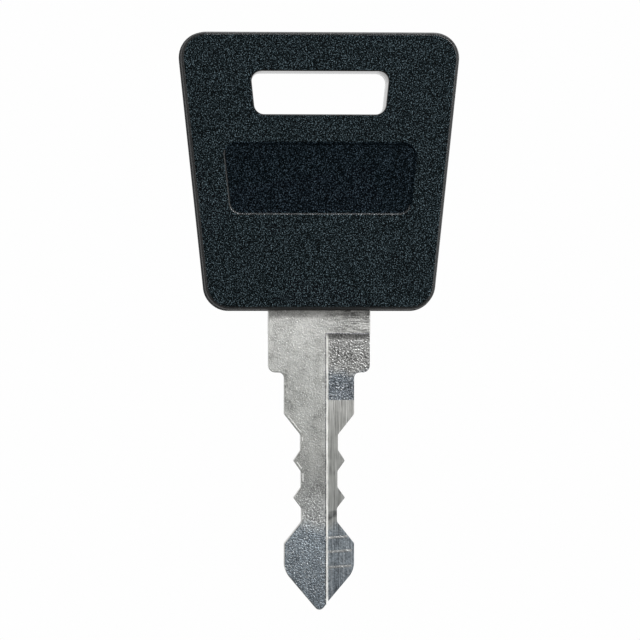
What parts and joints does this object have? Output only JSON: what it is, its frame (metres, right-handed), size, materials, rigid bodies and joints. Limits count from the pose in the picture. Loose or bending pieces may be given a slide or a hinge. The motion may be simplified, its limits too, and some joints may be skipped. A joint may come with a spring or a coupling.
{
  "type": "key of a selector key switch",
  "caption": "Flat double-sided key with a tapered black plastic head, ring slot, blank recess and grooved metal blade, for a panel key switch.",
  "frame": {"origin": "on the blade's axis at mid-thickness, in the plane of the two stop shoulders that meet the lock", "axes": "+Z along the blade from the tip towards the head, -Y out of the front face with the recess, +X to the right of the front face"},
  "size_m": [0.028, 0.005, 0.0577],
  "materials": {
    "blade": "nickel plated, satin, with a milled rabbet",
    "head_plastic": "black moulded ABS with a spark-eroded grain"
  },
  "bodies": {
    "root": {"key_blade": "blade", "head_front_shell": "head_plastic", "head_rear_shell": "head_plastic"}
  },
  "joints": []
}
